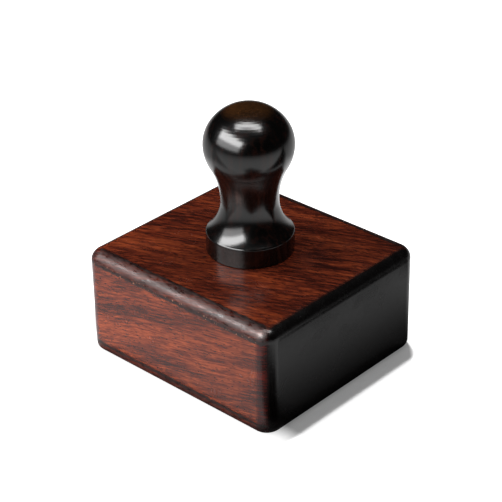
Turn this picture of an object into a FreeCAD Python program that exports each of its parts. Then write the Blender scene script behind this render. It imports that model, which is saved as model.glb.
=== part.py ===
"""A hand tamper: a rosewood block with a turned blackwood knob standing on it.

The knob is keyed to the block by a round spigot and two dowels. One screw, sunk in
the underside and covered by a wooden plug, pulls it down onto the block's top face.
The origin is the middle of the block's underside, +Z points up the knob's axis, and
X and Y run along the block's short and long sides. Units are millimetres.
"""

import FreeCAD
import Part
import math
import os

# ---- block ------------------------------------------------------------------
BLOCK_WIDTH = 80.0
BLOCK_LENGTH = 88.0
BLOCK_HEIGHT = 41.5
CORNER_RADIUS = 6.0
TOP_EDGE_RADIUS = 4.6
SOLE_EDGE_RADIUS = 3.0

# ---- knob, heights above the block's top face --------------------------------
FOOT_RADIUS = 15.8
FOOT_CHAMFER = 0.3
SHOULDER_RADIUS = 1.0
FLARE_RADIUS = 16.4
NECK_RADIUS = 10.35
NECK_HEIGHT = 19.7
HEAD_RADIUS = 16.0
HEAD_HEIGHT = 41.0
CROWN_RISE = 14.7
CROWN_SIDE_SHARE = 0.9

# ---- spigot that centres the knob --------------------------------------------
SPIGOT_LENGTH = 2.7
SPIGOT_WALL = 1.9
SPIGOT_CLEARANCE = 0.1
SOCKET_FLOOR_GAP = 0.3

# ---- two dowels that stop the knob turning -----------------------------------
DOWEL_COUNT = 2
DOWEL_RADIUS = 1.5
DOWEL_DEPTH = 6.0
DOWEL_CHAMFER = 0.3
DOWEL_CLEARANCE = 0.02
DOWEL_END_GAP = 0.5

# ---- M8 socket head screw ----------------------------------------------------
SCREW_RADIUS = 4.0
SCREW_HEAD_RIM = 2.5
SCREW_HEAD_HEIGHT = 8.0
SCREW_TIP_CHAMFER = 0.8
HEX_KEY_SIZE = 6.0
HEX_KEY_DEPTH = 4.0
THREAD_ENGAGEMENT = 14.7
SCREW_HOLE_CLEARANCE = 0.4

# ---- washers under the screw head --------------------------------------------
FLAT_WASHER_RADIUS = 9.0
FLAT_WASHER_THICKNESS = 1.6
SPRING_WASHER_BAND = 3.3
SPRING_WASHER_THICKNESS = 2.0
SPRING_WASHER_SLIT = 0.8
SPRING_WASHER_SLANT = 25.0
WASHER_CLEARANCE = 0.15

# ---- brass threaded insert in the knob ---------------------------------------
INSERT_WALL = 1.5
INSERT_RIDGE = 0.6
INSERT_RIDGE_PITCH = 2.0
INSERT_LENGTH = 16.0
INSERT_CLEARANCE = 0.02
THREAD_CLEARANCE = 0.03
DRILL_RELIEF = 4.0

# ---- plug that covers the screw ----------------------------------------------
COUNTERBORE_CLEARANCE = 0.5
PLUG_HEIGHT = 5.0
PLUG_RECESS = 0.15
PLUG_CLEARANCE = 0.03
PLUG_CHAMFER = 0.3
PLUG_HEAD_GAP = 0.35

# ---- sizes worked out from those above ---------------------------------------
INSERT_BORE = SCREW_RADIUS + THREAD_CLEARANCE
INSERT_ROOT = INSERT_BORE + INSERT_WALL
INSERT_CREST = INSERT_ROOT + INSERT_RIDGE
SPIGOT_RADIUS = INSERT_CREST + SPIGOT_WALL
SOCKET_RADIUS = SPIGOT_RADIUS + SPIGOT_CLEARANCE
SCREW_HOLE_RADIUS = SCREW_RADIUS + SCREW_HOLE_CLEARANCE
DOWEL_CIRCLE = (SOCKET_RADIUS + FOOT_RADIUS) / 2
COUNTERBORE_RADIUS = FLAT_WASHER_RADIUS + COUNTERBORE_CLEARANCE
PLUG_TOP = PLUG_RECESS + PLUG_HEIGHT
HEAD_BOTTOM = PLUG_TOP + PLUG_HEAD_GAP
HEAD_TOP = HEAD_BOTTOM + SCREW_HEAD_HEIGHT
SPRING_WASHER_TOP = HEAD_TOP + SPRING_WASHER_THICKNESS
COUNTERBORE_TOP = SPRING_WASHER_TOP + FLAT_WASHER_THICKNESS
SOCKET_FLOOR = BLOCK_HEIGHT - SPIGOT_LENGTH - SOCKET_FLOOR_GAP
SPIGOT_END = BLOCK_HEIGHT - SPIGOT_LENGTH
SCREW_TIP = SPIGOT_END + THREAD_ENGAGEMENT
INSERT_TOP = SPIGOT_END + INSERT_LENGTH

OUTPUT_FOLDER = "parts"
UP = FreeCAD.Vector(0, 0, 1)


def point(radius, height):
    """A point of a turned outline, in the XZ plane."""
    return FreeCAD.Vector(radius, 0, height)


def cylinder(radius, bottom, top, x=0.0, y=0.0):
    """An upright cylinder between two heights."""
    return Part.makeCylinder(radius, top - bottom, FreeCAD.Vector(x, y, bottom), UP)


def turned(edges):
    """The solid of revolution of a closed outline about the Z axis."""
    face = Part.Face(Part.Wire(edges))
    return face.revolve(FreeCAD.Vector(0, 0, 0), UP, 360.0)


def polyline(points):
    """Straight edges from each point to the next."""
    return [Part.LineSegment(a, b).toShape() for a, b in zip(points, points[1:])]


def arc(centre_radius, centre_height, radius, start, end):
    """An arc of a turned outline, its angles in radians from the +X direction."""

    def at(angle):
        return point(centre_radius + radius * math.cos(angle), centre_height + radius * math.sin(angle))

    return Part.Arc(at(start), at((start + end) / 2), at(end)).toShape()


def chamfered_pin(radius, bottom, top, chamfer, x=0.0, y=0.0):
    """A cylinder with both of its rims chamfered."""
    pin = cylinder(radius, bottom, top, x, y)
    rims = [edge for edge in pin.Edges if edge.BoundBox.ZLength < chamfer]
    return pin.makeChamfer(chamfer, rims)


def edges_at(shape, height, reach):
    """The edges that lie level at a height, further than reach from the Z axis."""
    level = [e for e in shape.Edges if e.BoundBox.ZLength < 1e-6 and abs(e.BoundBox.ZMin - height) < 1e-6]
    return [e for e in level if max(abs(e.CenterOfMass.x), abs(e.CenterOfMass.y)) > reach]


def dowel_places():
    """The dowels' centres, evenly round the dowel circle from the X axis."""
    turn = 2 * math.pi / DOWEL_COUNT
    angles = [n * turn for n in range(DOWEL_COUNT)]
    return [(DOWEL_CIRCLE * math.cos(a), DOWEL_CIRCLE * math.sin(a)) for a in angles]


def dowel_holes():
    """One through shape per dowel, for both the block and the knob's foot."""
    radius = DOWEL_RADIUS + DOWEL_CLEARANCE
    depth = DOWEL_DEPTH + DOWEL_END_GAP
    return [cylinder(radius, BLOCK_HEIGHT - depth, BLOCK_HEIGHT + depth, x, y) for x, y in dowel_places()]


def insert_envelope(clearance):
    """The insert's ridged outside, a stack of V ridges, grown by a clearance."""
    ridges = int(INSERT_LENGTH / INSERT_RIDGE_PITCH)
    pitch = INSERT_LENGTH / ridges
    root = INSERT_ROOT + clearance
    crest = INSERT_CREST + clearance
    outline = [point(0, SPIGOT_END), point(root, SPIGOT_END)]
    for ridge in range(ridges):
        low = SPIGOT_END + ridge * pitch
        outline += [point(crest, low + pitch / 2), point(root, low + pitch)]
    outline += [point(0, INSERT_TOP), point(0, SPIGOT_END)]
    return turned(polyline(outline))


def base_block():
    """The block: rounded all over, bored for the screw, and socketed for the spigot."""
    corner = FreeCAD.Vector(-BLOCK_WIDTH / 2, -BLOCK_LENGTH / 2, 0)
    block = Part.makeBox(BLOCK_WIDTH, BLOCK_LENGTH, BLOCK_HEIGHT, corner)
    uprights = [e for e in block.Edges if e.BoundBox.ZLength > BLOCK_HEIGHT / 2]
    block = block.makeFillet(CORNER_RADIUS, uprights)
    block = block.makeFillet(TOP_EDGE_RADIUS, edges_at(block, BLOCK_HEIGHT, 0))
    block = block.makeFillet(SOLE_EDGE_RADIUS, edges_at(block, 0, 0))
    holes = [
        cylinder(SCREW_HOLE_RADIUS, COUNTERBORE_TOP, SOCKET_FLOOR),
        cylinder(COUNTERBORE_RADIUS, 0, COUNTERBORE_TOP),
        cylinder(SOCKET_RADIUS, SOCKET_FLOOR, BLOCK_HEIGHT),
    ]
    return block.cut(Part.makeCompound(holes + dowel_holes()).Solids)


def knob_outline():
    """The knob's outline from the spigot, up the foot, flare, neck and head, to the axis."""
    flare_centre = NECK_RADIUS + FLARE_RADIUS
    shoulder_centre = FOOT_RADIUS - SHOULDER_RADIUS
    reach = FLARE_RADIUS + SHOULDER_RADIUS
    shoulder_drop = math.sqrt(reach**2 - (flare_centre - shoulder_centre) ** 2)
    shoulder_height = NECK_HEIGHT - shoulder_drop
    flare_angle = math.atan2(shoulder_drop, flare_centre - shoulder_centre)

    head_rise = HEAD_HEIGHT - NECK_HEIGHT
    throat_radius = (head_rise**2 + NECK_RADIUS**2 - HEAD_RADIUS**2) / (2 * (HEAD_RADIUS - NECK_RADIUS))
    throat_centre = NECK_RADIUS + throat_radius
    throat_angle = math.atan2(head_rise, throat_centre)

    base = BLOCK_HEIGHT
    edges = polyline(
        [
            point(0, SPIGOT_END),
            point(SPIGOT_RADIUS, SPIGOT_END),
            point(SPIGOT_RADIUS, base),
            point(FOOT_RADIUS - FOOT_CHAMFER, base),
            point(FOOT_RADIUS, base + FOOT_CHAMFER),
            point(FOOT_RADIUS, base + shoulder_height),
        ]
    )
    edges.append(arc(shoulder_centre, base + shoulder_height, SHOULDER_RADIUS, 0, flare_angle))
    edges.append(arc(flare_centre, base + NECK_HEIGHT, FLARE_RADIUS, math.pi + flare_angle, math.pi))
    edges.append(arc(throat_centre, base + NECK_HEIGHT, throat_radius, math.pi, math.pi - throat_angle))
    edges.append(arc(0, base + HEAD_HEIGHT, HEAD_RADIUS, -throat_angle, 0))
    edges += crown(base + HEAD_HEIGHT)
    edges += polyline([point(0, base + HEAD_HEIGHT + CROWN_RISE), point(0, SPIGOT_END)])
    return edges


def crown(height):
    """The head's flattened top: a side arc from its widest place, then an arc centred on the axis."""
    side_radius = CROWN_RISE * CROWN_SIDE_SHARE
    side_centre = HEAD_RADIUS - side_radius
    top_radius = side_centre**2 + CROWN_RISE**2 - side_radius**2
    top_radius = top_radius / (2 * (CROWN_RISE - side_radius))
    top_centre = CROWN_RISE - top_radius
    meeting = math.atan2(-top_centre, side_centre)
    return [
        arc(side_centre, height, side_radius, 0, meeting),
        arc(0, height + top_centre, top_radius, meeting, math.pi / 2),
    ]


def knob_handle():
    """The turned knob, bored for its insert, the screw's tip and the dowels."""
    knob = turned(knob_outline())
    relief = cylinder(SCREW_HOLE_RADIUS, INSERT_TOP, INSERT_TOP + DRILL_RELIEF)
    return knob.cut([insert_envelope(INSERT_CLEARANCE), relief] + dowel_holes())


def threaded_insert():
    """The brass insert: ridged outside, a plain bore for the screw's thread inside."""
    return insert_envelope(0).cut(cylinder(INSERT_BORE, SPIGOT_END, INSERT_TOP))


def clamp_screw():
    """The socket head screw, head down, with a hexagonal key hole."""
    shank = cylinder(SCREW_RADIUS, HEAD_TOP, SCREW_TIP)
    tip = [e for e in shank.Edges if abs(e.BoundBox.ZMin - SCREW_TIP) < 1e-6]
    shank = shank.makeChamfer(SCREW_TIP_CHAMFER, tip)
    head = chamfered_pin(SCREW_RADIUS + SCREW_HEAD_RIM, HEAD_BOTTOM, HEAD_TOP, SCREW_TIP_CHAMFER / 2)
    across_corners = HEX_KEY_SIZE / math.cos(math.pi / 6)
    corners = []
    for n in range(7):
        angle = n * math.pi / 3
        across = across_corners / 2
        corners.append(FreeCAD.Vector(across * math.cos(angle), across * math.sin(angle), HEAD_BOTTOM))
    key = Part.Face(Part.makePolygon(corners)).extrude(UP * HEX_KEY_DEPTH)
    return head.cut(key).fuse(shank).removeSplitter()


def spring_washer():
    """The split lock washer, pressed flat, with its slanted slit."""
    inner = SCREW_RADIUS + WASHER_CLEARANCE
    outer = inner + SPRING_WASHER_BAND
    ring = cylinder(outer, HEAD_TOP, SPRING_WASHER_TOP).cut(cylinder(inner, HEAD_TOP, SPRING_WASHER_TOP))
    tall = 4 * SPRING_WASHER_THICKNESS
    slit = Part.makeBox(outer * 2, SPRING_WASHER_SLIT, tall, FreeCAD.Vector(0, -SPRING_WASHER_SLIT / 2, -tall / 2))
    slit.rotate(FreeCAD.Vector(0, 0, 0), FreeCAD.Vector(1, 0, 0), SPRING_WASHER_SLANT)
    slit.translate(UP * ((HEAD_TOP + SPRING_WASHER_TOP) / 2))
    return ring.cut(slit)


def flat_washer():
    """The flat washer that spreads the screw's pull over the counterbore's floor."""
    inner = cylinder(SCREW_RADIUS + WASHER_CLEARANCE, SPRING_WASHER_TOP, COUNTERBORE_TOP)
    return cylinder(FLAT_WASHER_RADIUS, SPRING_WASHER_TOP, COUNTERBORE_TOP).cut(inner)


def locating_dowel(place):
    """One dowel, half in the block and half in the knob's foot."""
    low = BLOCK_HEIGHT - DOWEL_DEPTH
    high = BLOCK_HEIGHT + DOWEL_DEPTH
    return chamfered_pin(DOWEL_RADIUS, low, high, DOWEL_CHAMFER, place[0], place[1])


def sole_plug():
    """The plug that hides the screw, a hair below the block's sole."""
    radius = COUNTERBORE_RADIUS - PLUG_CLEARANCE
    return chamfered_pin(radius, PLUG_RECESS, PLUG_TOP, PLUG_CHAMFER)


def build():
    """Every piece by the name of its node."""
    pieces = {
        "base_block": base_block(),
        "knob_handle": knob_handle(),
        "threaded_insert": threaded_insert(),
        "clamp_screw": clamp_screw(),
        "spring_washer": spring_washer(),
        "flat_washer": flat_washer(),
        "sole_plug": sole_plug(),
    }
    for number, place in enumerate(dowel_places(), start=1):
        pieces[f"locating_dowel_{number}"] = locating_dowel(place)
    return pieces


def main():
    """Writes one STEP file for each piece and prints its solids and volume."""
    os.makedirs(OUTPUT_FOLDER, exist_ok=True)
    for name, shape in build().items():
        shape.exportStep(os.path.join(OUTPUT_FOLDER, f"{name}.step"))
        volume = sum(solid.Volume for solid in shape.Solids)
        print(f"{name}: {len(shape.Solids)} solid, {volume:.1f} mm3, valid {shape.isValid()}")


main()
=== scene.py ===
"""Looks for a hand tamper: a lacquered rosewood block with a turned blackwood knob.

Each sub-assembly is a class that builds its meshes and dresses them, and each finish
is a frozen dataclass that builds one material. Sizes are in metres, in the frame of
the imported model: origin under the middle of the block, +Z up the knob's axis.
"""

import logging
import math
from dataclasses import dataclass, field, replace
from enum import Enum
from typing import Iterable, Sequence, Union

import bpy
from mathutils import Matrix, Vector


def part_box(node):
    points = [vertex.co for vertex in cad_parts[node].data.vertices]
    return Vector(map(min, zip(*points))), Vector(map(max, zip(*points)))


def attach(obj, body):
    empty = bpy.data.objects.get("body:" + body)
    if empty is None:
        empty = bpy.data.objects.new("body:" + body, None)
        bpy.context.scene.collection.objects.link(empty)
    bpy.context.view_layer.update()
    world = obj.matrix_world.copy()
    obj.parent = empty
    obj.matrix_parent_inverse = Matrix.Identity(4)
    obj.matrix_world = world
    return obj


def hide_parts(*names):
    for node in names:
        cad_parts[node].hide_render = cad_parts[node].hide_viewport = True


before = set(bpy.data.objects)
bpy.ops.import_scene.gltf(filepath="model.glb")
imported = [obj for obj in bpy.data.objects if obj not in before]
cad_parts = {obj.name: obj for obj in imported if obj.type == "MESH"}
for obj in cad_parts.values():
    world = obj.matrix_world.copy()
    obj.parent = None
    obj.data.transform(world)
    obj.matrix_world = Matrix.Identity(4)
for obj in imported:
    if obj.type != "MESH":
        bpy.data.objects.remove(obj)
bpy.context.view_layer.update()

MM = 0.001
BODY = "root"
WELD = 1e-7
Socket = bpy.types.NodeSocket
Tree = bpy.types.NodeTree
Object = bpy.types.Object
Material = bpy.types.Material
RGB = tuple[float, float, float]
Point = tuple[float, float, float]
Feed = Union[Socket, float, int, Sequence[float], None]

log = logging.getLogger("tamper")


# ---- node graphs --------------------------------------------------------------


class Graph:
    """A thin layer over a node tree that keeps the building of graphs readable."""

    def __init__(self, tree: Tree) -> None:
        """Wraps a tree.

        Args:
            tree: A shader, world or geometry node tree.
        """
        self.tree = tree

    def node(self, kind: str, **settings: object) -> bpy.types.Node:
        """Adds a node.

        Args:
            kind: The node's bl_idname.
            settings: Properties to set on it.

        Returns:
            The new node.
        """
        made = self.tree.nodes.new(kind)
        for name, value in settings.items():
            setattr(made, name, value)
        return made

    def feed(self, socket: Socket, value: Feed) -> None:
        """Links a socket to another, or sets its constant.

        Args:
            socket: The input to fill.
            value: An output socket, a constant, or None to leave the input alone.
        """
        if isinstance(value, Socket):
            self.tree.links.new(value, socket)
        elif value is not None:
            socket.default_value = value

    def fill(self, node: bpy.types.Node, **values: Feed) -> bpy.types.Node:
        """Fills a node's inputs, named with underscores for spaces, and returns the node."""
        for name, value in values.items():
            self.feed(node.inputs[name.replace("_", " ")], value)
        return node

    def row(self, node: bpy.types.Node, *values: Feed) -> Socket:
        """Fills a node's inputs in order and returns its first output."""
        for socket, value in zip(node.inputs, values):
            self.feed(socket, value)
        return node.outputs[0]

    def math(self, operation: str, a: Feed, b: Feed = None, c: Feed = None):
        """Adds a Math node and returns its output."""
        return self.row(self.node("ShaderNodeMath", operation=operation), a, b, c)

    def times(self, a: Feed, *others: Feed):
        """Multiplies values."""
        for other in others:
            a = self.math("MULTIPLY", a, other)
        return a

    def plus(self, a: Feed, b: Feed):
        """Adds two values."""
        return self.math("ADD", a, b)

    def minus(self, a: Feed, b: Feed):
        """Takes the second value from the first."""
        return self.math("SUBTRACT", a, b)

    def most(self, a: Feed, *others: Feed):
        """Returns the greatest of some values."""
        for other in others:
            a = self.math("MAXIMUM", a, other)
        return a

    def vector(self, operation: str, a: Feed, b: Feed = None):
        """Adds a Vector Math node and returns its vector, or its value for a dot product or length."""
        made = self.node("ShaderNodeVectorMath", operation=operation)
        self.row(made, a, b)
        return made.outputs["Value" if operation in ("DOT_PRODUCT", "LENGTH") else "Vector"]

    def parts(self, vector: Feed):
        """Splits a vector and returns its X, Y and Z outputs."""
        made = self.node("ShaderNodeSeparateXYZ")
        self.feed(made.inputs[0], vector)
        return made.outputs

    def scale(self, vector: Feed, factor: Feed):
        """Scales a vector or a colour by one factor."""
        made = self.node("ShaderNodeVectorMath", operation="SCALE")
        return self.row(self.fill(made, Scale=factor), vector)

    def combine(self, x: Feed, y: Feed, z: Feed):
        """Adds a Combine XYZ node and returns its vector."""
        return self.row(self.node("ShaderNodeCombineXYZ"), x, y, z)

    def remap(self, value: Feed, low: float, high: float, to_low: float = 0.0, to_high: float = 1.0):
        """Maps a value smoothly from one range to another, held at both ends."""
        made = self.node("ShaderNodeMapRange", interpolation_type="SMOOTHSTEP")
        return self.row(made, value, low, high, to_low, to_high)

    def fade(self, distance: Feed, span: Sequence[float]):
        """Fades over a distance: the span has its start and end in millimetres, then its two values."""
        start, end, *values = span
        return self.remap(distance, start * MM, end * MM, *values)

    def noise(self, vector: Feed, scale: float, detail: float = 2.0, rough: float = 0.5,
              distort: float = 0.0):
        """Adds a 3D Noise Texture and returns its value."""
        made = self.node("ShaderNodeTexNoise")
        self.fill(made, Vector=vector, Scale=scale, Detail=detail, Roughness=rough, Distortion=distort)
        return made.outputs[0]

    def mix(self, share: Feed, a: Feed, b: Feed, blend: str = "MIX"):
        """Mixes two colours and returns the result."""
        made = self.node("ShaderNodeMix", data_type="RGBA", blend_type=blend)
        self.feed(made.inputs[0], share)
        self.feed(made.inputs[6], a)
        self.feed(made.inputs[7], b)
        return made.outputs[2]

    def ramp(self, share: Feed, stops: Sequence[tuple[float, RGB]]):
        """Adds a colour ramp with the stops given as place and colour, and returns its colour."""
        made = self.node("ShaderNodeValToRGB")
        elements = made.color_ramp.elements
        while len(elements) < len(stops):
            elements.new(0.5)
        for element, (place, colour) in zip(elements, stops):
            element.position = place
            element.color = (*colour, 1.0)
        return self.row(made, share)

    def bump(self, height: Feed) -> Socket:
        """Adds a bump of a height in millimetres and returns its normal."""
        return self.fill(self.node("ShaderNodeBump"), Height=height, Distance=MM).outputs[0]

    def group(self, tree: Tree, **values: Feed) -> bpy.types.Node:
        """Places a node group and fills its inputs, named with underscores for spaces."""
        kind = "GeometryNodeGroup" if tree.bl_idname == "GeometryNodeTree" else "ShaderNodeGroup"
        return self.fill(self.node(kind, node_tree=tree), **values)


class SocketKind(Enum):
    """The kinds of socket that the groups here use."""

    VALUE = "NodeSocketFloat"
    WHOLE = "NodeSocketInt"
    VECTOR = "NodeSocketVector"
    MATERIAL = "NodeSocketMaterial"
    GEOMETRY = "NodeSocketGeometry"


def numbers(*names: str) -> dict[str, SocketKind]:
    """Describes plain number sockets by their names."""
    return dict.fromkeys(names, SocketKind.VALUE)


def new_group(kind: str, name: str, inputs: dict[str, SocketKind], outputs: dict[str, SocketKind]):
    """Makes an empty node group with named inputs and outputs.

    Args:
        kind: ShaderNodeTree or GeometryNodeTree.
        name: The group's name.
        inputs: Each input's name and kind.
        outputs: Each output's name and kind.

    Returns:
        The group's graph, its input node and its output node.
    """
    tree = bpy.data.node_groups.new(name, kind)
    for side, sockets in (("INPUT", inputs), ("OUTPUT", outputs)):
        for label, socket in sockets.items():
            tree.interface.new_socket(name=label, in_out=side, socket_type=socket.value)
    graph = Graph(tree)
    return graph, graph.node("NodeGroupInput"), graph.node("NodeGroupOutput")


# ---- effects that more than one material uses ----------------------------------


GRAIN_SIZES = (
    "band_width", "streak_width", "streak_length", "layer_spread", "pore_width", "pore_length", "pore_share",
)
# How often the figure drifts along each axis and how far, in millimetres; how long a
# growth band is for its width; how the fine fibres' cells compare with the streaks';
# and how far apart the pores are for their width.
DRIFT_RATE = (0.03, 0.018, 0.03)
DRIFT = (3.0, 0.0, 3.0)
BAND_LENGTH = 14.0
FIBRE_WIDTH = 0.32
FIBRE_LENGTH = 0.4
PORE_PITCH = 3.2


def make_grain() -> Tree:
    """Builds the wood grain group.

    Its Position is in millimetres with +Y along the fibre and +Z across the growth
    layers. It puts out growth bands, streaks, fine fibres and open pores, each from 0 to 1.

    Returns:
        The group's tree.
    """
    graph, given, out = new_group(
        "ShaderNodeTree",
        "wood grain",
        {"Position": SocketKind.VECTOR, **numbers(*(name.replace("_", " ").title() for name in GRAIN_SIZES))},
        numbers("Bands", "Streaks", "Fibres", "Pores"),
    )
    position = given.outputs["Position"]
    spread = given.outputs["Layer Spread"]
    width = given.outputs["Streak Width"]
    length = given.outputs["Streak Length"]

    def cells(across: Feed, along: Feed, through: Feed, vector: Feed) -> Socket:
        """Divides a position by a cell's size across the fibre, along it and through the layers."""
        return graph.vector("DIVIDE", vector, graph.combine(across, along, through))

    drift = graph.node("ShaderNodeTexNoise")
    graph.fill(drift, Vector=graph.vector("MULTIPLY", position, DRIFT_RATE), Scale=1.0, Detail=1.0)
    sway = graph.vector("SUBTRACT", drift.outputs["Color"], (0.5, 0.5, 0.5))
    wavy = graph.vector("ADD", position, graph.vector("MULTIPLY", sway, DRIFT))

    band = given.outputs["Band Width"]
    band_cells = cells(graph.times(band, spread), graph.times(band, BAND_LENGTH), band, wavy)
    bands = graph.noise(band_cells, 1.0, 3.0, 0.6, 0.3)
    streak_cells = cells(graph.times(width, spread), length, width, wavy)
    streaks = graph.noise(streak_cells, 1.0, 3.0, 0.62, 0.1)
    fine_width = graph.times(width, FIBRE_WIDTH)
    fine_length = graph.times(length, FIBRE_LENGTH)
    fine_cells = cells(graph.times(fine_width, spread), fine_length, fine_width, wavy)
    fibres = graph.noise(fine_cells, 1.0, 2.0, 0.6)

    vessels = graph.node("ShaderNodeTexVoronoi", feature="F1")
    pitch = graph.times(given.outputs["Pore Width"], PORE_PITCH)
    graph.fill(vessels, Vector=cells(pitch, given.outputs["Pore Length"], pitch, wavy), Scale=1.0)
    core = graph.remap(vessels.outputs["Distance"], 0.42, 0.16)
    chance = graph.node("ShaderNodeSeparateColor")
    graph.feed(chance.inputs[0], vessels.outputs["Color"])
    present = graph.math("LESS_THAN", chance.outputs[0], given.outputs["Pore Share"])

    graph.fill(out, Bands=graph.remap(bands, 0.32, 0.68),
               Streaks=graph.remap(streaks, 0.3, 0.7), Fibres=graph.remap(fibres, 0.25, 0.75),
               Pores=graph.times(core, present))
    return graph.tree


def make_lacquer() -> Tree:
    """Builds the lacquer group: uneven gloss, dust nibs and the faint ripple of a brushed coat.

    Returns:
        The group's tree, which takes a position in millimetres and puts out a roughness and a height.
    """
    graph, given, out = new_group(
        "ShaderNodeTree",
        "lacquer film",
        {"Position": SocketKind.VECTOR, **numbers("Roughness", "Smear", "Sunk Grain")},
        numbers("Roughness", "Height"),
    )
    position = given.outputs["Position"]
    smears = graph.remap(graph.noise(position, 0.09, 4.0, 0.6, 0.6), 0.4, 0.75)
    rough = graph.math("MULTIPLY_ADD", smears, given.outputs["Smear"], given.outputs["Roughness"])
    ripple = graph.noise(position, 0.22, 1.0, 0.4)
    cells = graph.node("ShaderNodeTexVoronoi", feature="F1")
    graph.fill(cells, Vector=position, Scale=0.16)
    nibs = graph.remap(cells.outputs["Distance"], 0.05, 0.02)
    height = graph.math("MULTIPLY_ADD", ripple, 0.02, graph.times(nibs, 0.02))
    graph.fill(out, Roughness=graph.plus(rough, graph.times(nibs, 0.2)),
               Height=graph.minus(height, given.outputs["Sunk Grain"]))
    return graph.tree


# Measures in millimetres of the painted edge shade and its worn chips: how the ragged line is
# drawn out along the edge, how deep the dark painted border lies, and where the chips start, lie and end.
DRAWN_OUT = (1.0, 0.28, 1.0)
BORDER_DEPTH = 0.35
CHIP_LEVEL = 0.6
CHIP_SPREAD = 0.8
CHIP_START = 3.0


def make_painted_shade_and_chips() -> Tree:
    """Builds the edge group: painted shade along level edges, a dark painted border line, and worn chips in
    it.

    Position is in millimetres from the middle of a rounded box, Half Size is that
    box's and Reach is how far in from its faces the edge goes.

    Returns:
        The group's tree.
    """
    graph, given, out = new_group(
        "ShaderNodeTree",
        "edge stain",
        {"Position": SocketKind.VECTOR, "Half Size": SocketKind.VECTOR, **numbers("Reach", "Ragged")},
        numbers("Stain", "Border", "Chips"),
    )
    position = given.outputs["Position"]
    reach = given.outputs["Reach"]
    flat_size = graph.vector("SUBTRACT", given.outputs["Half Size"], graph.combine(reach, reach, reach))
    past = graph.parts(graph.vector("SUBTRACT", graph.vector("ABSOLUTE", position), flat_size))
    depth = graph.math("MINIMUM", graph.most(past[0], past[1]), past[2])
    drawn = graph.vector("MULTIPLY", position, DRAWN_OUT)
    rough = graph.minus(graph.noise(drawn, 0.7, 3.0, 0.7), 0.5)
    ragged = graph.math("MULTIPLY_ADD", rough, given.outputs["Ragged"], depth)
    long_side = graph.remap(graph.minus(past[0], past[1]), -1.0, 1.0)
    off_line = graph.math("ABSOLUTE", graph.minus(ragged, BORDER_DEPTH))
    flakes = graph.remap(graph.noise(position, 1.2, 1.0, 0.5), 0.66, 0.72)
    height = graph.parts(graph.vector("SUBTRACT", position, flat_size))[2]
    level = graph.math("COMPARE", height, CHIP_LEVEL, CHIP_SPREAD)
    outer = graph.math("GREATER_THAN", past[0], CHIP_START)
    # The first output is painted shade along the long edges, the second a dark painted line at its border,
    # the third worn chips.
    graph.fill(out, Stain=graph.times(graph.remap(ragged, -0.5, 0.3), long_side),
               Border=graph.times(graph.remap(off_line, 0.95, 0.25), long_side),
               Chips=graph.times(flakes, graph.times(level, outer)))
    return graph.tree


@dataclass
class Effects:
    """The shader groups that the finishes share."""

    grain: Tree = field(default_factory=make_grain)
    lacquer: Tree = field(default_factory=make_lacquer)
    edges: Tree = field(default_factory=make_painted_shade_and_chips)


# ---- finishes -------------------------------------------------------------------


def blank(made: Union[Material, bpy.types.World]) -> Graph:
    """Empties a new material's or world's node tree and returns its graph."""
    made.use_nodes = True
    made.node_tree.nodes.clear()
    return Graph(made.node_tree)


def fresh_material(name: str) -> tuple[Material, Graph, bpy.types.Node]:
    """Makes a material with one Principled shader wired to its output.

    Args:
        name: The material's name.

    Returns:
        The material, its graph and the Principled node.
    """
    material = bpy.data.materials.new(name)
    graph = blank(material)
    shader = graph.node("ShaderNodeBsdfPrincipled")
    graph.fill(graph.node("ShaderNodeOutputMaterial"), Surface=shader.outputs[0])
    return material, graph, shader


def grain_frame(graph: Graph, place: Feed, fibre: Point, layers: Point) -> Socket:
    """Turns object coordinates into millimetres with +Y along the fibre and +Z across the layers.

    Args:
        graph: The material's graph.
        place: The object coordinates.
        fibre: The fibre's direction in the object's frame.
        layers: The growth layers' normal, roughly square to the fibre.

    Returns:
        The turned position.
    """
    along = Vector(fibre).normalized()
    through = Vector(layers)
    through = (through - through.dot(along) * along).normalized()
    turn = Matrix((along.cross(through), along, through)).to_euler()
    mapping = graph.node("ShaderNodeMapping", vector_type="POINT")
    graph.fill(mapping, Vector=place, Rotation=tuple(turn), Scale=(1 / MM, 1 / MM, 1 / MM))
    return mapping.outputs[0]


@dataclass(frozen=True)
class PaintedEdgeShadeAndChips:
    """Painted shade along a rounded box's level edges and on its upright corners, with worn chips: the box,
    the edge's reach and the tint.
    """

    centre: Point
    half_size: Point
    reach: float = 4.6
    ragged: float = 2.0
    # tint and border are painted shade along the edges; chip is the colour of worn chips.
    tint: RGB = (0.40, 0.30, 0.31)
    border: RGB = (0.012, 0.0035, 0.003)
    chip: RGB = (0.30, 0.12, 0.07)
    # Deep red painted shade on the upright corners, where the faces turn from the light.
    corner: RGB = (0.46, 0.14, 0.12)


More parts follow.
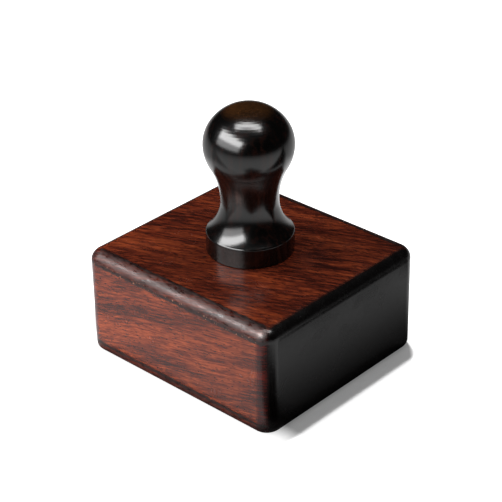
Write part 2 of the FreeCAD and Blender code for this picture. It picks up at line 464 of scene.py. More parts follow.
@dataclass(frozen=True)
class LacqueredWood:
    """A lacquered wood: its colours along the grain and across the end grain, which also carries painted
    shade and light, and its film.
    """

    name: str
    fibre: Point
    layers: Point
    dark: RGB
    middle: RGB
    light: RGB
    pore: RGB
    # The end grain's colour and the faces it covers, which on the rosewood also paint shade and on the knob
    # paint light.
    end_and_painted_light_colour: RGB
    end_and_painted_light_facing: Point = (-0.6, 1.0, 0.0)
    end_and_painted_light_start: float = 0.10
    end_and_painted_light_full: float = 0.42
    band_width: float = 6.0
    streak_width: float = 0.8
    streak_length: float = 24.0
    layer_spread: float = 3.0
    pore_width: float = 0.2
    pore_length: float = 4.0
    pore_share: float = 0.5
    band_weight: float = 0.4
    stops: tuple[float, float, float] = (0.12, 0.5, 0.88)
    ripple: float = 1.0
    roughness: float = 0.16
    smear: float = 0.08
    ior: float = 1.42
    sunk: float = 0.012
    # Painted shade along the edges, with worn chips, for the woods that have it.
    painted_shade_and_chips: Union[PaintedEdgeShadeAndChips, None] = None

    def figure(self, graph: Graph, grain: bpy.types.Node) -> Socket:
        """Colours the wood from its bands, streaks, fibres and pores."""
        streaks = graph.times(grain.outputs["Streaks"], 1.0 - self.band_weight)
        share = graph.math("MULTIPLY_ADD", grain.outputs["Bands"], self.band_weight, streaks)
        colour = graph.ramp(share, list(zip(self.stops, (self.dark, self.middle, self.light))))
        colour = graph.scale(colour, graph.remap(grain.outputs["Fibres"], 0.0, 1.0, 0.68, 1.3))
        pores = graph.times(grain.outputs["Pores"], 0.8)
        return graph.mix(pores, colour, (*self.pore, 1.0))

    def build(self, effects: Effects) -> Material:
        """Builds the material.

        Args:
            effects: The shared shader groups.

        Returns:
            The material.
        """
        material, graph, shader = fresh_material(self.name)
        coordinates = graph.node("ShaderNodeTexCoord")
        place = coordinates.outputs["Object"]
        position = grain_frame(graph, place, self.fibre, self.layers)
        sizes = {name.title(): getattr(self, name) for name in GRAIN_SIZES}
        grain = graph.group(effects.grain, Position=position, **sizes)
        colour = self.figure(graph, grain)
        # End grain colour: real on the beech, painted shade on the rosewood's end faces, painted light on the
        # knob's top.
        normal = graph.vector("ABSOLUTE", coordinates.outputs["Normal"])
        facing = graph.vector("DOT_PRODUCT", normal, self.end_and_painted_light_facing)
        end_and_painted_light_share = graph.remap(facing, self.end_and_painted_light_start, self.end_and_painted_light_full)
        colour = graph.mix(end_and_painted_light_share, colour, self.end_grain_with_painted_light(graph, position))
        film = graph.group(
            effects.lacquer,
            Position=position,
            Roughness=self.roughness,
            Smear=self.smear,
            Sunk_Grain=graph.times(grain.outputs["Pores"], self.sunk),
        )
        rough = film.outputs["Roughness"]
        if self.painted_shade_and_chips is not None:
            colour, rough = self.with_painted_shade_and_chips(graph, effects, coordinates, colour, rough)
        ripples = graph.bump(graph.times(film.outputs["Height"], self.ripple))
        graph.fill(shader, Base_Color=colour, Roughness=rough, Normal=ripples, IOR=self.ior)
        return material

    def end_grain_with_painted_light(self, graph: Graph, position: Socket) -> Socket:
        """Colours the end grain, with pore ends and not streaks: real darker end grain on the beech, almost
        black on the rosewood as darker end grain and painted shade, and brown on the knob as painted light on
        the head's top.
        """
        mottle = graph.remap(graph.noise(position, 0.7, 4.0, 0.6), 0.3, 0.7, 0.7, 1.25)
        return graph.scale(self.end_and_painted_light_colour, mottle)

    def with_painted_shade_and_chips(self, graph: Graph, effects: Effects, coordinates: bpy.types.Node,
                colour: Socket, rough: Socket) -> tuple:
        """Paints shade along the edges, chips them and paints a deep red shade on the upright corners.

        Args:
            graph: The material's graph.
            effects: The shared shader groups.
            coordinates: The texture coordinate node.
            colour: The wood's colour so far.
            rough: The film's roughness so far.

        Returns:
            The colour and the roughness with the edges in them.
        """
        painted_shade_and_chips = self.painted_shade_and_chips
        # Painted shade, deep red, on the upright rounded corners.
        facing = graph.parts(graph.vector("ABSOLUTE", coordinates.outputs["Normal"]))
        turned = graph.remap(graph.times(facing[0], facing[1]), 0.04, 0.30)
        colour = graph.mix(turned, colour, graph.mix(1.0, colour, (*painted_shade_and_chips.corner, 1.0), "MULTIPLY"))
        place = graph.vector("SUBTRACT", coordinates.outputs["Object"], painted_shade_and_chips.centre)
        centred = graph.vector("MULTIPLY", place, (1 / MM, 1 / MM, 1 / MM))
        edges = graph.group(effects.edges, Position=centred, Half_Size=painted_shade_and_chips.half_size,
                            Reach=painted_shade_and_chips.reach, Ragged=painted_shade_and_chips.ragged)
        # Painted shade along the edges, a dark painted line at its border, then worn chips.
        darker = graph.mix(1.0, colour, (*painted_shade_and_chips.tint, 1.0), "MULTIPLY")
        colour = graph.mix(edges.outputs["Stain"], colour, darker)
        colour = graph.mix(edges.outputs["Border"], colour, (*painted_shade_and_chips.border, 1.0))
        colour = graph.mix(edges.outputs["Chips"], colour, (*painted_shade_and_chips.chip, 1.0))
        drawn = graph.vector("MULTIPLY", centred, (1.0, 0.3, 1.0))
        worn = graph.remap(graph.noise(drawn, 1.1, 3.0, 0.7), 0.35, 0.65, 0.02, 0.34)
        return colour, graph.math("MULTIPLY_ADD", edges.outputs["Stain"], worn, rough)


class MetalKind(Enum):
    """The metals of the hidden fixings, each with its colour and roughness."""

    BRASS = ("turned brass", (0.72, 0.50, 0.20), 0.24)
    STAINLESS = ("stainless steel", (0.58, 0.58, 0.58), 0.28)
    ZINC = ("zinc plated steel", (0.50, 0.52, 0.55), 0.34)


@dataclass(frozen=True)
class Metal:
    """A machined metal with turning marks round its axis and a little tarnish."""

    kind: MetalKind

    def build(self, effects: Effects) -> Material:
        """Builds the material.

        Args:
            effects: The shared shader groups.

        Returns:
            The material.
        """
        name, colour, rough = self.kind.value
        material, graph, shader = fresh_material(name)
        coordinates = graph.node("ShaderNodeTexCoord")
        position = grain_frame(graph, coordinates.outputs["Object"], (0.0, 1.0, 0.0), (0.0, 0.0, 1.0))
        film = graph.group(effects.lacquer, Position=position, Roughness=rough, Smear=0.14, Sunk_Grain=0.0)
        marks = graph.noise(graph.vector("MULTIPLY", position, (0.2, 0.2, 9.0)), 1.0, 2.0)
        dull = graph.remap(graph.noise(position, 0.4, 4.0, 0.65), 0.45, 0.8)
        tarnished = tuple(0.45 * c for c in colour)
        graph.fill(shader, Base_Color=graph.mix(dull, (*colour, 1.0), (*tarnished, 1.0)),
                   Roughness=film.outputs["Roughness"], Metallic=1.0,
                   Normal=graph.bump(graph.times(marks, 0.01)))
        return material


ROSEWOOD = LacqueredWood(
    name="lacquered rosewood",
    fibre=(0.2386, -0.9627, 0.129),
    layers=(0.433, 0.2245, 0.873),
    dark=(0.029, 0.0046, 0.0028),
    middle=(0.105, 0.0165, 0.0066),
    light=(0.245, 0.045, 0.0135),
    layer_spread=4.5,
    streak_width=0.5,
    roughness=0.22,
    pore=(0.012, 0.0035, 0.0026),
    # Almost black: darker end grain, and painted shade on the end faces and the top edge over them.
    end_and_painted_light_colour=(0.0022, 0.0018, 0.0018),
)
BLACKWOOD = LacqueredWood(
    name="lacquered blackwood",
    fibre=(0.0, 0.0, 1.0),
    layers=(0.6, 0.8, 0.0),
    dark=(0.0006, 0.0006, 0.0006),
    middle=(0.0010, 0.0008, 0.0008),
    light=(0.014, 0.0040, 0.0026),
    pore=(0.0012, 0.0010, 0.0010),
    # Brown where the head faces up: painted light on the knob's top.
    end_and_painted_light_colour=(0.042, 0.0160, 0.0042),
    end_and_painted_light_facing=(0.0, 0.0, 1.0),
    end_and_painted_light_start=0.80,
    end_and_painted_light_full=0.97,
    band_width=9.0,
    streak_width=1.3,
    streak_length=26.0,
    layer_spread=1.4,
    stops=(0.2, 0.6, 0.92),
    ripple=0.25,
    roughness=0.17,
    smear=0.04,
    ior=1.5,
    band_weight=0.35,
    sunk=0.004,
)
BEECH = LacqueredWood(
    name="sanded beech",
    fibre=(0.0, 0.0, 1.0),
    layers=(1.0, 0.0, 0.0),
    dark=(0.36, 0.20, 0.095),
    middle=(0.46, 0.27, 0.14),
    light=(0.55, 0.35, 0.20),
    pore=(0.24, 0.12, 0.05),
    end_and_painted_light_colour=(0.33, 0.18, 0.085),
    end_and_painted_light_facing=(0.0, 0.0, 1.0),
    streak_width=0.5,
    streak_length=5.0,
    roughness=0.55,
)


# ---- solids swept round an outline ----------------------------------------------


def make_sweep() -> Tree:
    """Builds the tree that sweeps a section round a rounded rectangle, or turns it about the Z axis.

    The section is a chain of points: X is how far a point stands out from the corner
    radius, Y is how far it is drawn in to the axis, from 0 to 1, and Z is its height.
    With a rectangle of no size the same tree is a lathe.

    Returns:
        The group's tree.
    """
    graph, given, out = new_group(
        "GeometryNodeTree",
        "swept solid",
        {
            "Section": SocketKind.GEOMETRY,
            **numbers("Half Width", "Half Length", "Corner Radius", "Sharp Angle"),
            "Corner Steps": SocketKind.WHOLE,
            "Material": SocketKind.MATERIAL,
        },
        {"Solid": SocketKind.GEOMETRY},
    )
    section = given.outputs["Section"]
    steps = given.outputs["Corner Steps"]
    radius = given.outputs["Corner Radius"]

    rows = graph.node("GeometryNodeAttributeDomainSize", component="MESH")
    graph.feed(rows.inputs[0], section)
    per_corner = graph.plus(steps, 1.0)
    around = graph.times(per_corner, 4.0)
    grid = graph.node("GeometryNodeMeshGrid")
    graph.fill(grid, Size_X=around,
               Size_Y=graph.minus(rows.outputs[0], 1.0), Vertices_X=graph.plus(around, 1.0),
               Vertices_Y=rows.outputs[0])

    place = graph.parts(graph.node("GeometryNodeInputPosition").outputs[0])
    half_around = graph.times(around, 0.5)
    column = graph.math("ROUND", graph.plus(place[0], half_around))
    column = graph.math("FLOORED_MODULO", column, around)
    half_rows = graph.times(graph.minus(rows.outputs[0], 1.0), 0.5)
    row = graph.math("ROUND", graph.plus(place[1], half_rows))

    corner = graph.math("FLOOR", graph.math("DIVIDE", graph.plus(column, 0.5), per_corner))
    step = graph.minus(column, graph.times(corner, per_corner))
    angle = graph.times(graph.plus(corner, graph.math("DIVIDE", step, steps)), math.pi / 2)
    diagonal = graph.times(graph.plus(corner, 0.5), math.pi / 2)

    point = graph.node("GeometryNodeSampleIndex", data_type="FLOAT_VECTOR", domain="POINT")
    graph.fill(point, Geometry=section, Value=graph.node("GeometryNodeInputPosition").outputs[0], Index=row)
    sampled = graph.parts(point.outputs[0])
    reach = graph.plus(radius, sampled[0])
    kept = graph.minus(1.0, sampled[1])

    def across(half_size: Feed, wave: str) -> Socket:
        """Places a point across one axis, from its corner's centre and its angle."""
        side = graph.times(graph.math(wave, diagonal), math.sqrt(2.0))
        centre = graph.times(side, graph.minus(half_size, radius))
        full = graph.math("MULTIPLY_ADD", graph.math(wave, angle), reach, centre)
        return graph.times(full, kept)

    moved = graph.node("GeometryNodeSetPosition")
    x = across(given.outputs["Half Width"], "COSINE")
    y = across(given.outputs["Half Length"], "SINE")
    graph.fill(moved, Geometry=grid.outputs["Mesh"], Position=graph.combine(x, y, sampled[2]))
    welded = graph.node("GeometryNodeMergeByDistance")
    graph.fill(welded, Geometry=moved.outputs[0], Distance=WELD)
    edge = graph.node("GeometryNodeInputMeshEdgeAngle")
    sharp = graph.math("GREATER_THAN", edge.outputs["Unsigned Angle"], given.outputs["Sharp Angle"])
    shaded = graph.node("GeometryNodeSetShadeSmooth", domain="EDGE")
    graph.fill(shaded, Geometry=welded.outputs[0], Selection=sharp, Shade_Smooth=False)
    real = graph.node("GeometryNodeRealizeInstances")
    graph.feed(real.inputs[0], shaded.outputs[0])
    dressed = graph.node("GeometryNodeSetMaterial")
    graph.fill(dressed, Geometry=real.outputs[0], Material=given.outputs["Material"])
    graph.fill(out, Solid=dressed.outputs[0])
    return graph.tree


def linked(name: str, data: bpy.types.ID) -> Object:
    """Makes an object of some data and links it to the scene."""
    made = bpy.data.objects.new(name, data)
    bpy.context.scene.collection.objects.link(made)
    return made


def section_object(name: str, points: Iterable[Point]) -> Object:
    """Makes an object whose mesh is a chain of points and edges.

    Args:
        name: The object's name.
        points: The chain's points, in order.

    Returns:
        The object, linked to the scene.
    """
    chain = list(points)
    mesh = bpy.data.meshes.new(name)
    mesh.from_pydata(chain, [(i, i + 1) for i in range(len(chain) - 1)], [])
    return linked(name, mesh)


def bake_mesh(made: Object) -> Object:
    """Turns an object's evaluated shape into its plain mesh and removes its modifiers.

    Args:
        made: The object to convert.

    Returns:
        The same object.
    """
    graph = bpy.context.evaluated_depsgraph_get()
    mesh = bpy.data.meshes.new_from_object(made.evaluated_get(graph), depsgraph=graph)
    mesh.name = made.name
    made.modifiers.clear()
    made.data = mesh
    return made


@dataclass
class Sweep:
    """Sweeps sections round a rounded rectangle, or turns them when the rectangle has no size."""

    tree: Tree
    half_width: float = 0.0
    half_length: float = 0.0
    corner_radius: float = 0.0
    corner_steps: int = 40
    sharp_angle: float = math.radians(35.0)

    def make(self, name: str, points: Iterable[Point], material: Material) -> Object:
        """Makes one closed solid.

        Args:
            name: The object's name.
            points: The section, as make_sweep describes it.
            material: The solid's material.

        Returns:
            The object, with a plain mesh.
        """
        made = section_object(name, points)
        modifier = made.modifiers.new("sweep", "NODES")
        modifier.node_group = self.tree
        values = {
            "Half Width": self.half_width,
            "Half Length": self.half_length,
            "Corner Radius": self.corner_radius,
            "Corner Steps": self.corner_steps,
            "Sharp Angle": self.sharp_angle,
            "Material": material,
        }
        for item in self.tree.interface.items_tree:
            if item.in_out == "INPUT" and item.name in values:
                modifier[item.identifier] = values[item.name]
        return bake_mesh(made)


def cut(target: Object, cutters: Sequence[Object]) -> Object:
    """Cuts solids out of another and evens out its normals.

    Args:
        target: The solid that keeps what is left.
        cutters: The solids to take away, which are removed from the scene.

    Returns:
        The target, with a plain mesh.
    """
    for cutter in cutters:
        modifier = target.modifiers.new("cut", "BOOLEAN")
        modifier.operation = "DIFFERENCE"
        modifier.solver = "EXACT"
        modifier.object = cutter
    weighted = target.modifiers.new("even normals", "WEIGHTED_NORMAL")
    weighted.keep_sharp = True
    bake_mesh(target)
    for cutter in cutters:
        bpy.data.objects.remove(cutter)
    return target


def arc(centre: tuple[float, float], radius: float, start: float, end: float, steps: int) -> list[Point]:
    """Points of an arc of a section.

    Args:
        centre: The arc's centre, as distance out and height.
        radius: The arc's radius.
        start: The first point's angle from straight out, in radians.
        end: The last point's angle.
        steps: How many steps the arc has.

    Returns:
        The points, both ends included.
    """
    angles = [start + (end - start) * n / steps for n in range(steps + 1)]
    return [(centre[0] + radius * math.cos(a), 0.0, centre[1] + radius * math.sin(a)) for a in angles]


def closed(points: Sequence[Point]) -> list[Point]:
    """Draws a section in to the axis at both ends, so that the solid is closed."""
    first, last = points[0], points[-1]
    return [(first[0], 1.0, first[2]), *points, (last[0], 1.0, last[2])]


def column(radius: float, low: float, high: float) -> list[Point]:
    """The section of a plain upright cylinder, closed at both ends."""
    return closed([(radius, 0.0, low), (radius, 0.0, high)])


def place(made: Object, node: str, slot: str) -> Object:
    """Seats a finished piece on the frame in place of a CAD node.

    Args:
        made: The piece.
        node: The CAD node that it stands for.
        slot: Not used.

    Returns:
        The piece.
    """
    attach(made, BODY)
    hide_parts(node)
    log.info("%s: %d faces, stands for %s", made.name, len(made.data.polygons), node)
    return made


# ---- sub-assemblies ---------------------------------------------------------------


@dataclass
class Dowels:
    """Where the two dowels' blind holes are, for both of the pieces that they join."""

    nodes: tuple[str, ...] = ("locating_dowel_1", "locating_dowel_2")
    clearance: float = 0.02 * MM
    end_gap: float = 0.5 * MM

    def holes(self, lathe: Sweep, material: Material) -> list[Object]:
        """Makes a cutter for each dowel's hole.

        Args:
            lathe: The sweep that turns them.
            material: The material of the cut walls.

        Returns:
            The cutters, at their places.
        """
        cutters = []
        for node in self.nodes:
            low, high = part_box(node)
            radius = (high.x - low.x) / 2 + self.clearance
            section = column(radius, low.z - self.end_gap, high.z + self.end_gap)
            cutter = lathe.make(f"{node}_hole", section, material)
            cutter.data.transform(Matrix.Translation(((low.x + high.x) / 2, (low.y + high.y) / 2, 0.0)))
            cutters.append(cutter)
        return cutters


@dataclass
class Block:
    """The rosewood block, rounded on every edge and bored on the knob's axis."""

    finish: LacqueredWood
    node: str = "base_block"
    slot: str = "block_rosewood"
    corner_radius: float = 6.0 * MM
    top_edge: float = 4.6 * MM
    sole_edge: float = 3.0 * MM
    corner_steps: int = 16
    edge_steps: int = 14
    counterbore: tuple[float, float] = (9.5 * MM, 17.1 * MM)
    screw_hole: float = 4.4 * MM
    socket: tuple[float, float] = (8.13 * MM, 3.0 * MM)

    def outline(self, height: float) -> list[Point]:
        """The block's edge section, from the sole up over both rounded edges.

        Args:
            height: The block's height.

        Returns:
            The section's points, as offsets from the block's sides.
        """
        quarter = math.pi / 2
        sole = arc((-self.sole_edge, self.sole_edge), self.sole_edge, -quarter, 0.0, self.edge_steps)
        top = arc((-self.top_edge, height - self.top_edge), self.top_edge, 0.0, quarter, self.edge_steps)
        return closed(sole + top)

    def bore(self, height: float) -> list[Point]:
        """The stepped bore's section, from below the sole to above the top face."""
        wide, wide_top = self.counterbore
        socket, depth = self.socket
        floor = height - depth
        spare = 1.0 * MM
        return closed([
            (wide, 0.0, -spare), (wide, 0.0, wide_top), (self.screw_hole, 0.0, wide_top),
            (self.screw_hole, 0.0, floor), (socket, 0.0, floor), (socket, 0.0, height + spare),
        ])

    def build(self, tree: Tree, effects: Effects, dowels: Dowels) -> Object:
        """Builds, bores and dresses the block.

        Args:
            tree: The sweep's node tree.
            effects: The shared shader groups.
            dowels: The dowels that stand in it.

        Returns:
            The block.
        """
        low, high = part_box(self.node)
        # The block's edges get painted shade and worn chips.
        painted_shade_and_chips = PaintedEdgeShadeAndChips(tuple((low + high) / 2), tuple((high - low) / (2 * MM)), self.top_edge / MM)
        material = replace(self.finish, painted_shade_and_chips=painted_shade_and_chips).build(effects)
        around = Sweep(tree, high.x, high.y, self.corner_radius, self.corner_steps)
        lathe = Sweep(tree, corner_steps=20)
        made = around.make("rosewood_block", self.outline(high.z - low.z), material)
        cutters = [lathe.make("bore", self.bore(high.z), material), *dowels.holes(lathe, material)]
        return place(cut(made, cutters), self.node, self.slot)


@dataclass
class Knob:
    """The turned blackwood knob: foot, flare, neck and head, with a spigot under it."""

    finish: LacqueredWood
    node: str = "knob_handle"
    slot: str = "knob_blackwood"
    foot_radius: float = 15.8 * MM
    foot_chamfer: float = 0.3 * MM
    shoulder_radius: float = 1.0 * MM
    flare_radius: float = 16.4 * MM
    neck_radius: float = 10.35 * MM
    neck_height: float = 19.7 * MM
    head_radius: float = 16.0 * MM
    head_height: float = 41.0 * MM
    crown_side_share: float = 0.9
    spigot_radius: float = 8.03 * MM
    bore_radius: float = 6.15 * MM
    bore_depth: float = 16.0 * MM
    relief_radius: float = 4.4 * MM
    relief_depth: float = 4.0 * MM

    def inside(self, end: float, base: float) -> list[Point]:
        """The blind bore, from its closed end down to the spigot, and the spigot's outside."""
        bore_top = end + self.bore_depth
        return [
            (self.relief_radius, 1.0, bore_top + self.relief_depth),
            (self.relief_radius, 0.0, bore_top + self.relief_depth), (self.relief_radius, 0.0, bore_top),
            (self.bore_radius, 0.0, bore_top), (self.bore_radius, 0.0, end),
            (self.spigot_radius, 0.0, end), (self.spigot_radius, 0.0, base),
            (self.foot_radius - self.foot_chamfer, 0.0, base),
            (self.foot_radius, 0.0, base + self.foot_chamfer),
        ]

    def outside(self, base: float, top: float) -> list[Point]:
        """The turned outside, from the foot's edge to the top of the head.

        Args:
            base: The height of the block's top face.
            top: The height of the head's top.

        Returns:
            The section's points.
        """
        flare_centre = self.neck_radius + self.flare_radius
        shoulder_centre = self.foot_radius - self.shoulder_radius
        reach = self.flare_radius + self.shoulder_radius
        drop = math.sqrt(reach**2 - (flare_centre - shoulder_centre) ** 2)
        flare_angle = math.atan2(drop, flare_centre - shoulder_centre)
        rise = self.head_height - self.neck_height
        swell = self.head_radius - self.neck_radius
        throat = (rise**2 + self.neck_radius**2 - self.head_radius**2) / (2 * swell)
        throat_angle = math.atan2(rise, self.neck_radius + throat)
        neck = base + self.neck_height
        head = base + self.head_height
        crown = top - head
        side = crown * self.crown_side_share
        inset = self.head_radius - side
        top_radius = (inset**2 + crown**2 - side**2) / (2 * (crown - side))
        meeting = math.atan2(top_radius - crown, inset)
        pi = math.pi
        return [
            *arc((shoulder_centre, neck - drop), self.shoulder_radius, 0.0, flare_angle, 8),
            *arc((flare_centre, neck), self.flare_radius, pi + flare_angle, pi, 26),
            *arc((self.neck_radius + throat, neck), throat, pi, pi - throat_angle, 20),
            *arc((0.0, head), self.head_radius, -throat_angle, 0.0, 18),
            *arc((inset, head), side, 0.0, meeting, 16),
            *arc((0.0, top - top_radius), top_radius, meeting, pi / 2, 16),
        ]

    def build(self, tree: Tree, effects: Effects, dowels: Dowels) -> Object:
        """Turns, bores and dresses the knob.

        Args:
            tree: The sweep's node tree.
            effects: The shared shader groups.
            dowels: The dowels that stand in its foot.

        Returns:
            The knob.
        """
        low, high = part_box(self.node)
        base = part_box("base_block")[1].z
        material = self.finish.build(effects)
        lathe = Sweep(tree, corner_steps=40)
        made = lathe.make("blackwood_knob", self.inside(low.z, base) + self.outside(base, high.z), material)
        drill = Sweep(tree, corner_steps=8)
        return place(cut(made, dowels.holes(drill, material)), self.node, self.slot)


@dataclass
class Fixings:
    """The hidden hardware and the plug, which keep their CAD shapes and get their finishes."""

    def dress(self, effects: Effects) -> None:
        """Gives each kept CAD node its material.

        Args:
            effects: The shared shader groups.
        """
        zinc = Metal(MetalKind.ZINC).build(effects)
        beech = BEECH.build(effects)
        finishes = {
            "threaded_insert": Metal(MetalKind.BRASS).build(effects),
            "clamp_screw": Metal(MetalKind.STAINLESS).build(effects),
            "spring_washer": zinc,
            "flat_washer": zinc,
            "locating_dowel_1": beech,
            "locating_dowel_2": beech,
            "sole_plug": replace(ROSEWOOD, name="lacquered rosewood plug").build(effects),
        }
        for node, material in finishes.items():
            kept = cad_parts[node]
            for slot in kept.material_slots:
                slot.material = material
            log.info("%s: keeps its CAD shape, finished in %s", node, material.name)


# ---- studio -------------------------------------------------------------------------


class LampUse(Enum):
    """What a lamp gives: highlights on the object, light on it, light on the floor, or the block's glint."""

    HIGHLIGHT = "highlight"
    OBJECT = "object"
    FLOOR = "floor"
    BLOCK = "block"


@dataclass(frozen=True)
class Lamp:
    """One soft light: where it stands as seen from the object, its size and its power."""

    name: str
    azimuth: float
    elevation: float
    distance: float
    width: float
    depth: float
    power: float
    use: LampUse
    colour: RGB = (1.0, 1.0, 1.0)

    def build(self, aim: Vector, floor: Object, block: Object) -> Object:
        """Builds the lamp.

        Args:
            aim: The point that it faces.
            floor: The floor, which only its own lamp lights.
            block: The block, which has a lamp of its own.

        Returns:
            The lamp.
        """
        data = bpy.data.lights.new(self.name, "AREA")
        data.shape = "RECTANGLE"
        data.size = self.width
        data.size_y = self.depth
        data.energy = self.power
        data.color = self.colour
        made = linked(self.name, data)
        outward = direction(self.azimuth, self.elevation)
        made.location = aim + outward * self.distance
        made.rotation_euler = outward.to_track_quat("Z", "Y").to_euler()
        made.visible_camera = False
        made.visible_glossy = self.use in (LampUse.HIGHLIGHT, LampUse.BLOCK)
        made.visible_diffuse = not made.visible_glossy
        lit = bpy.data.collections.new(f"{self.name} lights")
        lit.objects.link(block if self.use is LampUse.BLOCK else floor)
        if self.use in (LampUse.HIGHLIGHT, LampUse.OBJECT):
            lit.collection_objects[0].light_linking.link_state = "EXCLUDE"
        made.light_linking.receiver_collection = lit
        return made


def direction(azimuth: float, elevation: float) -> Vector:
    """The unit vector out to an azimuth, 0 being -Y and 90 being +X, and an elevation, in degrees."""
    a, e = math.radians(azimuth), math.radians(elevation)
    return Vector((math.sin(a) * math.cos(e), -math.cos(a) * math.cos(e), math.sin(e)))


# How the floor changes from place to place: each span's start and end in millimetres,
# then its two values. The first two grade what the camera sees, the rest paint shadow
# and light on the floor as the lacquer reflects it.
FLOOR_WHITE = 0.65
WINDOW_EDGE = 14 * MM
SHADOW_EDGE = (14, 24, 0.13, 1.0)
SHADOW_END = (56, 61)
FRONT = (56, 66, 0.0, 0.85)
BEHIND = (-5, -45)
BEHIND_FAR = (60, 110, 1.0, 0.5)
BESIDE = 0.66
BESIDE_FAR = (50, 80, 1.0, 0.4)
NEAR = (0, 55, 0.02, 0.70)
NEAR_END = (35, 47, 1.0, 0.0)
# Painted shade on the floor as the lacquer reflects it: a dark patch off the block's
# window corner, and another before the corner that faces the camera.
PATCH_PLACE = 0.95
PATCH_SIDES = (8, 22)
PATCH_FRONT = 8 * MM
PATCH_FAR = (38, 55)
CORNER_START = (0, 8)
CORNER_FAR = (40, 55, 0.88, 0.0)
CORNER_FRONT = (50, 60)


class FloorPlace:
    """Where a point of the floor lies from the block: past its sides, towards the camera and rightwards."""

    def __init__(self, graph: Graph, place: Feed, corner: Vector, camera_azimuth: float) -> None:
        """Measures the point.

        Args:
            graph: The floor material's graph.
            place: The floor's object coordinates.
            corner: The block's upper corner, which holds its half width and half length.
            camera_azimuth: Where the camera stands.
        """
        self.corner = corner
        self.side = graph.parts(place)
        self.past = graph.parts(graph.vector("SUBTRACT", graph.vector("ABSOLUTE", place), tuple(corner)))
        self.clear_of = graph.most(self.past[0], self.past[1])
        # The window side, which the glow whitens to the camera and painted light makes pale in reflections.
        self.window_side = graph.remap(self.side[0], -corner.x, WINDOW_EDGE - corner.x, 1.0, 0.0)
        self.towards = graph.vector("DOT_PRODUCT", place, direction(camera_azimuth, 0.0))
        self.rightwards = graph.vector("DOT_PRODUCT", place, direction(camera_azimuth + 90.0, 0.0))


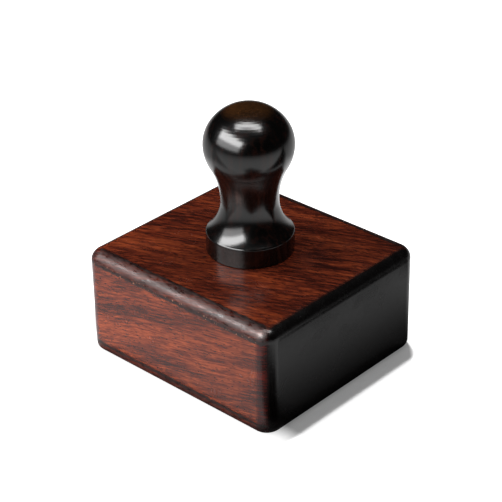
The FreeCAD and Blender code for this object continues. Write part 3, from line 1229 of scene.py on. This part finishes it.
@dataclass
class Studio:
    """The pale floor, the lights, the surroundings and the camera."""

    aim: Vector = field(default_factory=lambda: Vector((0.0, 0.0, 18.5 * MM)))
    floor_half: float = 3.0
    floor_drop: float = 0.02 * MM
    camera_azimuth: float = -46.93
    camera_elevation: float = 30.03
    camera_roll: float = -1.0
    camera_distance: float = 607.2 * MM
    camera_shift: tuple[float, float] = (-0.20 * MM, 18.47 * MM)
    lens: float = 120.1
    room_light: float = 0.28
    room_mirrored: float = 0.012
    lamps: tuple[Lamp, ...] = (
        Lamp("window, upper part", -104.0, 41.0, 0.60, 0.70, 0.18, 6.6, LampUse.HIGHLIGHT),
        Lamp("window, lower part", -104.0, 24.5, 0.60, 0.70, 0.18, 1.9, LampUse.HIGHLIGHT),
        Lamp("top strip", -52.0, 81.5, 0.60, 0.55, 0.14, 3.6, LampUse.HIGHLIGHT),
        Lamp("corner window", -95.0, 46.0, 0.60, 0.24, 0.20, 5.0, LampUse.BLOCK, (1.0, 0.80, 0.74)),
        Lamp("side light", -142.0, 15.0, 0.27, 0.18, 0.18, 1.40, LampUse.OBJECT, (1.0, 0.97, 0.94)),
        Lamp("room light", 60.0, 60.0, 0.80, 0.50, 0.50, 2.6, LampUse.OBJECT),
        Lamp("floor light", 133.0, 81.5, 1.00, 0.05, 0.05, 12.5, LampUse.FLOOR),
    )

    def floor(self) -> Object:
        """Builds the floor, which the camera sees as white but for the object's shadow.

        Returns:
            The floor.
        """
        half, level = self.floor_half, -self.floor_drop
        corners = [(-half, -half, level), (half, -half, level), (half, half, level), (-half, half, level)]
        mesh = bpy.data.meshes.new("floor")
        mesh.from_pydata(corners, [], [(0, 1, 2, 3)])
        made = linked("floor", mesh)
        mesh.materials.append(self.floor_material())
        return made

    def floor_material(self) -> Material:
        """Builds the floor's material: matte, with painted shadow and light in reflections, and a glow that
        whitens it to the camera but for a strip of real shadow.
        """
        material = bpy.data.materials.new("pale floor")
        graph = blank(material)
        seen = graph.node("ShaderNodeLightPath")
        place = graph.node("ShaderNodeTexCoord").outputs["Object"]
        spot = FloorPlace(graph, place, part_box("base_block")[1], self.camera_azimuth)
        # Glossy rays see the floor with painted shadow and light; other rays see it plain.
        painted_floor_reflection = self.painted_floor_reflection(graph, spot)
        plain = graph.minus(1.0, seen.outputs["Is Glossy Ray"])
        shade = graph.math("MULTIPLY_ADD", graph.minus(FLOOR_WHITE, painted_floor_reflection), plain, painted_floor_reflection)
        matte = graph.node("ShaderNodeBsdfDiffuse")
        graph.fill(matte, Color=graph.combine(shade, shade, shade))
        # The glow paints the floor white to the camera beyond the strip beside the block, over any real
        # shadow there.
        strength = graph.most(graph.fade(spot.clear_of, SHADOW_EDGE), spot.window_side,
                              graph.fade(spot.rightwards, SHADOW_END))
        glow = graph.node("ShaderNodeEmission")
        graph.fill(glow, Strength=graph.times(strength, seen.outputs["Is Camera Ray"]))
        both = graph.row(graph.node("ShaderNodeAddShader"), matte.outputs[0], glow.outputs[0])
        graph.fill(graph.node("ShaderNodeOutputMaterial"), Surface=both)
        return material

    def painted_floor_reflection(self, graph: Graph, spot: FloorPlace) -> Socket:
        """Paints shadow and light on the floor as the lacquer reflects it.

        Args:
            graph: The floor material's graph.
            spot: Where on the floor a ray lands.

        Returns:
            How pale the floor is in a reflection, from 0 to 1.
        """
        clear_of, side = spot.clear_of, spot.side
        behind = graph.times(graph.fade(spot.towards, BEHIND), graph.fade(clear_of, BEHIND_FAR))
        beside = graph.times(spot.window_side, BESIDE, graph.fade(clear_of, BESIDE_FAR))
        # Painted shadow: the floor is darker close to the block.
        near_painted_shadow = graph.times(graph.fade(clear_of, NEAR), graph.fade(clear_of, NEAR_END))
        pale = graph.most(near_painted_shadow, beside, behind, graph.fade(spot.towards, FRONT))
        # Painted shade in two patches: off the window corner and before the corner facing the camera.
        aside = graph.math("ABSOLUTE", graph.plus(side[0], PATCH_PLACE * spot.corner.x))
        ahead = graph.remap(side[1], -spot.corner.y - PATCH_FRONT, -spot.corner.y)
        off_painted_patch = graph.most(graph.fade(aside, PATCH_SIDES), ahead, graph.fade(clear_of, PATCH_FAR))
        past_both = graph.math("MINIMUM", spot.past[0], spot.past[1])
        before_corner_painted_shade = graph.times(graph.fade(past_both, CORNER_START), graph.fade(clear_of, CORNER_FAR),
                                    graph.fade(spot.towards, CORNER_FRONT))
        return graph.times(pale, graph.times(off_painted_patch, graph.minus(1.0, before_corner_painted_shade)))

    def world(self) -> None:
        """Builds the surroundings: white to the camera, a dim room to the object."""
        world = bpy.data.worlds.new("room")
        graph = blank(world)
        seen = graph.node("ShaderNodeLightPath")
        level = graph.math("MULTIPLY_ADD", seen.outputs["Is Glossy Ray"],
                           self.room_mirrored - self.room_light, self.room_light)
        room, white = (graph.row(graph.node("ShaderNodeBackground"), (1.0, 1.0, 1.0, 1.0), strength)
                       for strength in (level, 1.0))
        mixed = graph.row(graph.node("ShaderNodeMixShader"), seen.outputs["Is Camera Ray"], room, white)
        graph.fill(graph.node("ShaderNodeOutputWorld"), Surface=mixed)
        bpy.context.scene.world = world

    def camera(self) -> None:
        """Builds the camera, which looks down at the block's front corner."""
        data = bpy.data.cameras.new("camera")
        data.lens = self.lens
        made = linked("camera", data)
        back = direction(self.camera_azimuth, self.camera_elevation)
        level = Vector((0.0, 0.0, 1.0)).cross(back).normalized()
        up = back.cross(level)
        roll = math.radians(self.camera_roll)
        right = math.cos(roll) * level + math.sin(roll) * up
        up = back.cross(right)
        across, rise = self.camera_shift
        place_at = self.aim + back * self.camera_distance + right * across + up * rise
        turn = Matrix((right, up, back)).transposed().to_4x4()
        made.matrix_world = Matrix.Translation(place_at) @ turn
        bpy.context.scene.camera = made

    def build(self, block: Object) -> None:
        """Builds the whole studio.

        Args:
            block: The block, which has a lamp of its own.
        """
        floor = self.floor()
        for lamp in self.lamps:
            lamp.build(self.aim, floor, block)
        self.world()
        self.camera()
        bpy.context.scene.view_settings.view_transform = "Standard"
        log.info("studio: %d lamps", len(self.lamps))


def main() -> None:
    """Builds the tamper and its studio, in order."""
    logging.basicConfig(level=logging.INFO, format="%(name)s: %(message)s")
    effects = Effects()
    sweep = make_sweep()
    dowels = Dowels()
    block = Block(ROSEWOOD).build(sweep, effects, dowels)
    Knob(BLACKWOOD).build(sweep, effects, dowels)
    Fixings().dress(effects)
    Studio().build(block)


if __name__ == "__main__":
    main()
